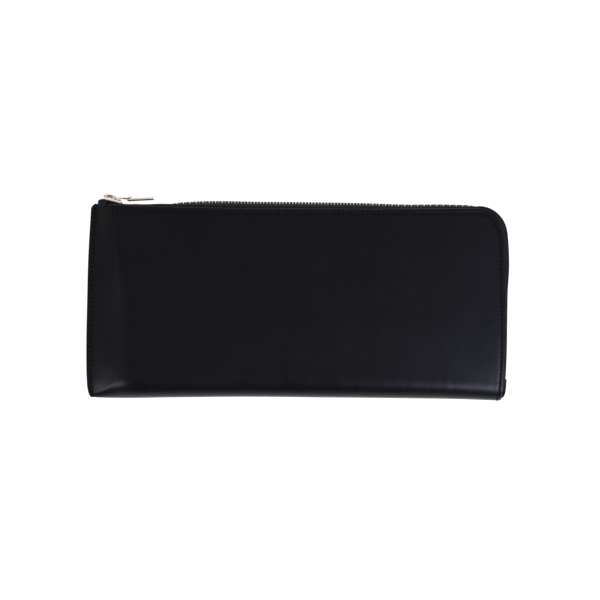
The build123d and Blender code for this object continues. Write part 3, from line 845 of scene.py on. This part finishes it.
def tape_tail():
    """A flat band on edge, following the tail's line."""
    line = np.array(TAIL) * MM
    places = np.linspace(0, len(line) - 1, 40)
    smooth = np.stack([np.interp(places, np.arange(len(line)), line[:, i]) for i in (0, 1)], -1)
    for _ in range(8):
        smooth[1:-1] = (smooth[:-2] + 2 * smooth[1:-1] + smooth[2:]) / 4
    ahead = np.gradient(smooth, axis=0)
    ahead /= np.linalg.norm(ahead, axis=1, keepdims=True)
    outward = np.stack([-ahead[:, 1], ahead[:, 0]], -1)
    across = np.linspace(-1, 1, 9)
    round_off = np.sqrt(np.clip(1 - across**6, 0.02, 1))
    sides = []
    for way in (1, -1):
        flat = smooth[:, None] + way * outward[:, None] * (TAIL_HALF * round_off)[None, :, None]
        high = np.broadcast_to(Z_MID + across * TAIL_HALF_WIDTH, flat.shape[:2])
        sides.append(np.concatenate([flat, high[..., None]], -1))
    pattern = np.stack(np.broadcast_arrays(places[:, None] * MM, across[None, :] * TAIL_HALF_WIDTH), -1) * 10
    return closed_sheet("tape_tail", sides[0], sides[1], pattern)


tail = tape_tail()
tail.data.materials.append(TAPE_WEAVE)
stay(tail, [])


def rounded_pad(name, centre, half, power=2.6):
    """A soft pad: a ball with squared-off sides."""
    mesh = bmesh.new()
    bmesh.ops.create_uvsphere(mesh, u_segments=28, v_segments=16, radius=1)
    layer = mesh.loops.layers.uv.new("pattern")
    for vertex in mesh.verts:
        reach = sum(abs(c) ** power for c in vertex.co) ** (1 / power)
        vertex.co = Vector([centre[i] + vertex.co[i] / reach * half[i] for i in range(3)])
    for face in mesh.faces:
        face.smooth = True
        for loop in face.loops:
            loop[layer].uv = (loop.vert.co.x * 10, (loop.vert.co.y + loop.vert.co.z) * 10)
    data = bpy.data.meshes.new(name)
    mesh.to_mesh(data)
    mesh.free()
    piece = bpy.data.objects.new(name, data)
    bpy.context.scene.collection.objects.link(piece)
    return piece


PAD_PLACE, PAD_OUT = (-92.1 * MM, 47.3 * MM), 6.3 * MM
PAD_HALF = (2.3 * MM, 1.75 * MM, 1.1 * MM)
for name, way in (("tape_end_front", 1), ("tape_end_rear", -1)):
    pad = rounded_pad(name, (*PAD_PLACE, Z_MID + way * PAD_OUT), PAD_HALF)
    pad.data.materials.append(TAPE_WEAVE)
    stay(pad, [])

# ---- The slider ----------------------------------------------------------------------------------
# A die-cast slider with a bright nickel plate: two plates joined by the wedge, and an arched bridge that
# holds the pull. It sits tilted on the chain, which climbs to its end over the closed-down corner.
SLIDER_TILT = radians(-12.5)
LINK_JOINT = next(j for j in frame["joints"] if j["name"] == "pull_link_swing")
PIVOT = Vector(LINK_JOINT["pos_m"])


def bright_nickel():
    """Polished nickel plate with faint handling marks and a warm cast."""
    material, nodes, links, shader = new_material("bright_nickel", (0.95, 0.86, 0.76), 0.2, Metallic=1.0)
    marks = add_noise(nodes, links, 700, 4, (1, 6, 1))
    links.new(ramp(nodes, links, marks, 0.10, 0.24), shader.inputs["Roughness"])
    cloudy = add_noise(nodes, links, 260, 2)
    mixed_color(nodes, links, shader, cloudy, (0.90, 0.79, 0.68), (0.98, 0.91, 0.83))
    add_bump(nodes, links, shader, [(marks, 0.00001)])
    return material


NICKEL = bright_nickel()
TILT = Matrix.Translation(PIVOT) @ Matrix.Rotation(SLIDER_TILT, 4, "Z") @ Matrix.Translation(-PIVOT)
slider_body = moved_copy("slider_body", TILT, NICKEL, "slider_body_casting")
stay(slider_body, ["slider_body"], "slider")

# The bridge is a cast arch over the pull's hinge pin, with a shallow recess in each side.
BRIDGE_LINE = (
    (-92.4, 50.7), (-91.9, 51.5), (-90.7, 51.75), (-88.8, 51.6), (-86.9, 51.0), (-85.0, 50.0), (-83.6, 48.6),
    (-85.0, 48.2), (-87.9, 48.9), (-90.7, 49.5), (-92.0, 49.9),
)
RECESS_CENTRE, RECESS_HALF = (-88.9, 50.5), (1.55, 0.68)
BRIDGE_HALF, WEB_HALF = 1.0 * MM, 0.55 * MM
BRIDGE_POINTS = 66
# The bridge's section: (share of the way from its outline to the recess, share of its half width).
BRIDGE_SECTION = ((0, 0.72), (0.08, 0.92), (0.2, 1), (0.8, 1), (0.94, 0.93), (1, 0.8))


def round_line(points, count):
    """A smooth closed line through points, in metres."""
    points = np.array(points, float) * MM
    line = []
    for step in np.linspace(0, len(points), count, endpoint=False):
        i, u = int(step), step - int(step)
        before, here, ahead, beyond = (points[(i + k) % len(points)] for k in (-1, 0, 1, 2))
        line.append(
            here + 0.5 * u * (ahead - before)
            + u * u * (before - 2.5 * here + 2 * ahead - 0.5 * beyond)
            + u**3 * (1.5 * here - 0.5 * before - 1.5 * ahead + 0.5 * beyond)
        )
    return np.array(line)


def at_height(line, height):
    """A flat line lifted to a height above the chain's middle."""
    return np.concatenate([line, np.full((len(line), 1), Z_MID + height)], 1)


def oval(centre, half, count, start=0.0, way=1):
    """A flat round or oval line."""
    turn = start + way * np.arange(count) * 2 * pi / count
    return np.stack([np.cos(turn) * half[0], np.sin(turn) * half[1]], -1) + centre


def slab(name, line, half):
    """A closed plate with a flat outline, across the chain's middle."""
    plate = piece_from(name, [ring_faces([at_height(line, -half), at_height(line, half)], False)])
    plate.data.shade_flat()
    return plate


lean = np.array([[cos(SLIDER_TILT), sin(SLIDER_TILT)], [-sin(SLIDER_TILT), cos(SLIDER_TILT)]])
recess = oval((0, 0), RECESS_HALF, BRIDGE_POINTS, pi, -1) @ lean * MM
recess_centre = np.array(RECESS_CENTRE) * MM
inner_line = recess + recess_centre
outer_line = round_line(BRIDGE_LINE, BRIDGE_POINTS)
nearest = np.argmin(np.hypot(*(outer_line - inner_line[0]).T))
outer_line = np.roll(outer_line, -nearest, axis=0)
section = BRIDGE_SECTION + tuple((share, -height) for share, height in BRIDGE_SECTION[::-1])
arch = []
for share, height in section:
    arch.append(at_height(outer_line * (1 - share) + inner_line * share, height * BRIDGE_HALF))
bridge = piece_from("slider_bridge_casting", [ring_faces(arch, True)])
bridge.data.materials.append(NICKEL)
stay(bridge, ["slider_bridge"], "slider")


def shaded_nickel():
    """The same plate down in the recess: duller where polishing doesn't reach, and painted darker and browner
    as the recess's shade.
    """
    material, nodes, links, shader = new_material("shaded_nickel", (0.30, 0.23, 0.18), 0.45, Metallic=1.0)
    shade_mottle = add_noise(nodes, links, 900, 3)
    mixed_color(nodes, links, shader, shade_mottle, (0.20, 0.15, 0.115), (0.42, 0.34, 0.27))
    return material


# The web down in the recess carries the painted shade: a darker, browner nickel.
web = slab("slider_bridge_recess", recess_centre + recess * 1.12, WEB_HALF)
web.data.materials.append(shaded_nickel())
stay(web, [], "slider")

# The hinge pin's burred ends show as dark dots on the bridge's sides.
PIN_RADIUS, PIN_PROUD, PIN_SHIFT = 0.42 * MM, 0.06 * MM, 0.3 * MM
pin_line = oval((PIVOT.x - PIN_SHIFT, PIVOT.y - PIN_SHIFT), (PIN_RADIUS, PIN_RADIUS), 18)
pin = slab("hinge_pin", pin_line, BRIDGE_HALF + PIN_PROUD)
pin.data.materials.append(OXIDE)
stay(pin, [], "slider")

# ---- The pull ------------------------------------------------------------------------------------
# A wire link hinged in the bridge, and a cast bar with a round knuckle that turns on the link, both with
# the slider's nickel plate. The bar has softly rounded edges and a rounded free end.
frame["nodes"]["pull_link"].data.materials.clear()
frame["nodes"]["pull_link"].data.materials.append(NICKEL)
TAB_LOW, TAB_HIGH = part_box("pull_tab")
TAB_HALF, TAB_HALF_WIDTH = 0.92 * MM, (TAB_HIGH.z - TAB_LOW.z) / 2
TAB_ROUND = 3.6  # 2 is an oval section; more is squarer
KNUCKLE, KNUCKLE_DROP, KNUCKLE_HALF = 1.4 * MM, 0.2 * MM, 1.5 * MM
TAB_DROP, TAB_RISE = 0.6 * MM, 0.55 * MM  # the tab leaves the knuckle low and rises to its free end
TAB_SHORT = 0.5 * MM


def pull_tab():
    """A bar with a rounded section and a rounded free end, and the knuckle on its other end."""
    hinge_y = (TAB_LOW.y + TAB_HIGH.y) / 2
    start, end = TAB_LOW.x + KNUCKLE, TAB_HIGH.x - TAB_SHORT
    along = np.concatenate([np.linspace(0, 0.9, 14), 1 - 0.1 * np.array([0.7, 0.45, 0.25, 0.1, 0.03, 0])])
    section = oval((0, 0), (1, 1), 36)
    section /= (np.abs(section) ** TAB_ROUND).sum(-1, keepdims=True) ** (1 / TAB_ROUND)
    rings = []
    for share in along:
        fall = max(0.0, (share - 0.9) / 0.1)
        size = max((1 - fall**2.5) ** 0.4, 0.12)
        waist = 0.80 + 0.20 * min(1.0, share / 0.25)
        middle_y = hinge_y - TAB_DROP + TAB_RISE * share
        rings.append(np.stack([
            np.full(36, start + (end - start) * share),
            middle_y + section[:, 0] * TAB_HALF * (0.8 + 0.2 * size),
            Z_MID + section[:, 1] * TAB_HALF_WIDTH * size * waist,
        ], -1))
    bar = ring_faces(rings, False)
    high = np.array([-1, -0.92, -0.7, 0.7, 0.92, 1]) * KNUCKLE_HALF
    size = np.array([0.72, 0.92, 1, 1, 0.92, 0.72])
    centres = np.stack([np.full(6, start), np.full(6, hinge_y - KNUCKLE_DROP), Z_MID + high], -1)
    knuckle = tube(centres, KNUCKLE, 24, 1.0, np.array([1.0, 0, 0]), size)
    return piece_from("pull_tab_casting", [bar, knuckle])


tab = pull_tab()
tab.data.materials.append(NICKEL)
stay(tab, ["pull_tab"], "tab")

# ---- The inside leathers -------------------------------------------------------------------------
# The centre partition, its card pockets and the coin pocket's wall are thin black leather, edges turned and
# glued. Each card pocket has a creased line under its mouth, and one row of stitches parts the two columns.
TURN = 0.22 * MM
CREASE_INSET, CREASE_DEEP = 1.5 * MM, 0.12 * MM
LEAF_CLEAR_SEAM, LEAF_CLEAR_FOLD = 1.6 * MM, 5 * MM


def leaf(node, creased=False, seam_at=None):
    """A flat leather leaf the size of the node, with softened edges; keeps clear of the hide's seam."""
    low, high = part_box(node)
    x_low, y_low = max(low.x, X_LEFT + LEAF_CLEAR_SEAM), max(low.y, Y_BOTTOM + LEAF_CLEAR_FOLD)
    rows = [m * MM for m in (0, 0.08, 0.22, 0.6, 1.2, 1.35, 1.5, 1.65, 1.8)]
    seam_rows = () if seam_at is None else seam_at + np.arange(-2, 3) * 0.3 * MM
    xs = graded(x_low, high.x, (rows, rows), 6 * MM, seam_rows)
    ys = graded(y_low, high.y, (rows, rows), 6 * MM)
    x, y = np.meshgrid(xs, ys, indexing="ij")
    from_edge = np.minimum(np.minimum(x - x_low, high.x - x), np.minimum(y - y_low, high.y - y))
    short = np.clip(TURN - from_edge, 0, None)
    turned = TURN - np.sqrt(np.clip(TURN**2 - short**2, 0, None))
    groove = CREASE_DEEP * np.exp(-(((high.y - y - CREASE_INSET) / (0.15 * MM)) ** 2)) if creased else 0
    if seam_at is not None:
        groove = groove + CREASE_DEEP * np.exp(-(((x - seam_at) / (0.35 * MM)) ** 2))
    top = np.stack([x, y, high.z - turned - groove], -1)
    under = np.stack([x, y, low.z + turned], -1)
    piece = closed_sheet(node + "_leaf", top, under, np.stack([x, y], -1) * 10)
    piece.data.materials.append(LINING_SPLIT)
    stay(piece, [node])
    return low, high


PARTED_AT = -2 * MM
COLUMN_PITCH, COLUMN_STITCH, COLUMN_THREAD = 2.4 * MM, 2.0 * MM, 0.16 * MM
leaf("centre_partition", creased=True)
leaf("coin_pocket_wall", creased=True)
column_threads = []
for side in ("front", "back"):
    for i in (1, 2, 3):
        low, high = leaf(f"card_tier_{side}_{i}", creased=True, seam_at=PARTED_AT)
        for y in np.arange(low.y + 2 * MM, high.y - 2 * MM, COLUMN_PITCH):
            line = np.linspace(0, 1, 6)
            arched = high.z - 0.1 * MM + COLUMN_THREAD * np.sin(line * pi)
            centre = np.stack([np.full(6, PARTED_AT), y + line * COLUMN_STITCH, arched], -1)
            column_threads.append(tube(centre, COLUMN_THREAD, 6))
parting = piece_from("card_column_stitches", column_threads)
parting.data.materials.append(THREAD)
stay(parting, [])

# ---- The gussets ---------------------------------------------------------------------------------
# Black moire taffeta over a thin backing, pleated.
# Two close the coin pocket's ends, and two lie at the foot of the mouth.
GUSSET_CLEAR = 0.3 * MM  # from the front cover's lining
GUSSET_EDGE = 4 * MM  # the cloth's mesh is cut this fine, so that it can bend


def taffeta():
    """Tightly woven black taffeta with a faint sheen."""
    material, nodes, links, shader = new_material("taffeta", (0.012, 0.012, 0.014), 0.6)
    shader.inputs["Sheen Weight"].default_value = 0.2
    place = nodes.new("ShaderNodeTexCoord")
    weave = []
    for direction in ("X", "Y"):
        wave = nodes.new("ShaderNodeTexWave")
        wave.bands_direction = direction
        wave.inputs["Scale"].default_value = 900
        links.new(place.outputs["Object"], wave.inputs["Vector"])
        weave.append((wave.outputs["Fac"], 0.00004))
    watered = add_noise(nodes, links, 220, 3, (1, 4, 1))
    mixed_color(nodes, links, shader, watered, (0.008, 0.008, 0.0095), (0.019, 0.019, 0.023))
    add_bump(nodes, links, shader, weave)
    return material


TAFFETA = taffeta()
for node in ("coin_pocket_gusset_left", "coin_pocket_gusset_right", "bill_gusset_front", "bill_gusset_back"):
    piece = moved_copy(node, Matrix.Identity(4), TAFFETA, node + "_cloth")
    fine = bmesh.new()
    fine.from_mesh(piece.data)
    for _ in range(3):
        bmesh.ops.triangulate(fine, faces=fine.faces)
        long_edges = [edge for edge in fine.edges if edge.calc_length() > GUSSET_EDGE]
        bmesh.ops.subdivide_edges(fine, edges=long_edges, cuts=1)
    bmesh.ops.triangulate(fine, faces=fine.faces)
    fine.to_mesh(piece.data)
    fine.free()
    for vertex in piece.data.vertices:
        place = S_FRONT + max(vertex.co.y - Y_FOLD, 0.0)
        ceiling, _ = cover_point(vertex.co.x, place, HIDE + BOARD + LINING + GUSSET_CLEAR)
        vertex.co.z = min(vertex.co.z, float(ceiling[2]))
    if node == "bill_gusset_front":
        bend_with_mouth(piece, [node])
    else:
        stay(piece, [node])

# ---- Floor, light and camera ---------------------------------------------------------------------
# A white light table, a dim ceiling with a bright band low down all round, and three softboxes: a broad one
# behind the wallet, a cool one low in front to the right, and a small one to the left.


def white_table():
    """Opal acrylic, lit from below."""
    material, nodes, links, shader = new_material("white_table", (0.12, 0.12, 0.12), 0.9)
    shader.inputs["Specular IOR Level"].default_value = 0.0
    shader.inputs["Emission Color"].default_value = (1, 1, 1, 1)
    shader.inputs["Emission Strength"].default_value = 1.0
    return material


bpy.ops.mesh.primitive_plane_add(size=8, location=(0, 0, -0.0002))
floor = bpy.context.object
floor.name = "floor"
floor.data.materials.append(white_table())

world = bpy.data.worlds.new("studio")
bpy.context.scene.world = world
world.use_nodes = True
sky, sky_links = world.node_tree.nodes, world.node_tree.links
background = sky["Background"]
direction = sky.new("ShaderNodeTexCoord")
split = sky.new("ShaderNodeSeparateXYZ")
height = sky.new("ShaderNodeValToRGB")
height.color_ramp.interpolation = "EASE"
SKY = (
    (0.0, (0.20, 0.20, 0.21)),
    (0.55, (0.08, 0.08, 0.09)),
    (0.80, (0.16, 0.16, 0.18)),
    (1.0, (0.64, 0.63, 0.68)),
)
while len(height.color_ramp.elements) < len(SKY):
    height.color_ramp.elements.new(0.5)
for element, (at, shade) in zip(height.color_ramp.elements, SKY):
    element.position = at
    element.color = (*shade, 1)
sky_links.new(direction.outputs["Generated"], split.inputs["Vector"])
sky_links.new(split.outputs["Z"], height.inputs["Fac"])


def window(axis, low, high):
    """0 to 1 as one part of the direction goes from low to high."""
    part = sky.new("ShaderNodeMapRange")
    part.interpolation_type = "SMOOTHSTEP"
    part.inputs["From Min"].default_value = low
    part.inputs["From Max"].default_value = high
    sky_links.new(split.outputs[axis], part.inputs["Value"])
    return part.outputs["Result"]


glow = window("X", 0.04, 0.30)
for other in (window("X", 0.85, 0.50), window("Y", 0.12, -0.15), window("Z", 0.0, 0.3)):
    both = sky.new("ShaderNodeMath")
    both.operation = "MULTIPLY"
    sky_links.new(glow, both.inputs[0])
    sky_links.new(other, both.inputs[1])
    glow = both.outputs[0]
lit = sky.new("ShaderNodeMix")
lit.data_type = "RGBA"
lit.inputs["B"].default_value = (1.5, 1.65, 2.1, 1)
sky_links.new(glow, lit.inputs["Factor"])
sky_links.new(height.outputs["Color"], lit.inputs["A"])
left_lit = sky.new("ShaderNodeMix")
left_lit.data_type = "RGBA"
left_lit.inputs["B"].default_value = (0.62, 0.60, 0.62, 1)
sky_links.new(window("X", -0.12, -0.5), left_lit.inputs["Factor"])
sky_links.new(lit.outputs["Result"], left_lit.inputs["A"])
sky_links.new(left_lit.outputs["Result"], background.inputs["Color"])
background.inputs["Strength"].default_value = 1.0


def softbox(name, place, aim, size, radiance, color, roll=0.0):
    """A rectangular light that the camera doesn't see, facing a point."""
    data = bpy.data.lights.new(name, "AREA")
    data.shape = "RECTANGLE"
    data.size, data.size_y = size
    data.energy = radiance * pi * size[0] * size[1]
    data.color = color
    lamp = bpy.data.objects.new(name, data)
    bpy.context.scene.collection.objects.link(lamp)
    lamp.location = place
    facing = (Vector(aim) - Vector(place)).to_track_quat("-Z", "Y").to_matrix()
    lamp.rotation_euler = (facing @ Matrix.Rotation(radians(roll), 3, "Z")).to_euler()
    lamp.visible_camera = False


WARM, COOL, PALE = (1.0, 0.96, 0.90), (0.69, 0.71, 0.98), (0.84, 0.86, 1.0)
softbox("back_softbox", (0.0, 1.0, 0.9), (0.0, 0.0, 0.0), (1.6, 0.5), 2.6, WARM)
softbox("front_softbox", (0.43, -0.36, 0.52), (0.05, 0.0, 0.0), (0.42, 0.42), 17, COOL, 20)
softbox("left_softbox", (-0.58, -0.28, 0.37), (-0.09, -0.04, 0.02), (0.24, 0.24), 9, PALE)

camera_data = bpy.data.cameras.new("camera")
camera_data.sensor_width = 36
VIEW_WIDTH, CAMERA_HEIGHT = 284.4 * MM, 1.25
VIEW_LEVEL = 15 * MM  # the height at which the view is that wide
camera_data.lens = camera_data.sensor_width * (CAMERA_HEIGHT - VIEW_LEVEL) / VIEW_WIDTH
camera = bpy.data.objects.new("camera", camera_data)
bpy.context.scene.collection.objects.link(camera)
camera.location = (1.26 * MM, 1.25 * MM, CAMERA_HEIGHT)
bpy.context.scene.camera = camera
bpy.context.scene.view_settings.view_transform = "Standard"
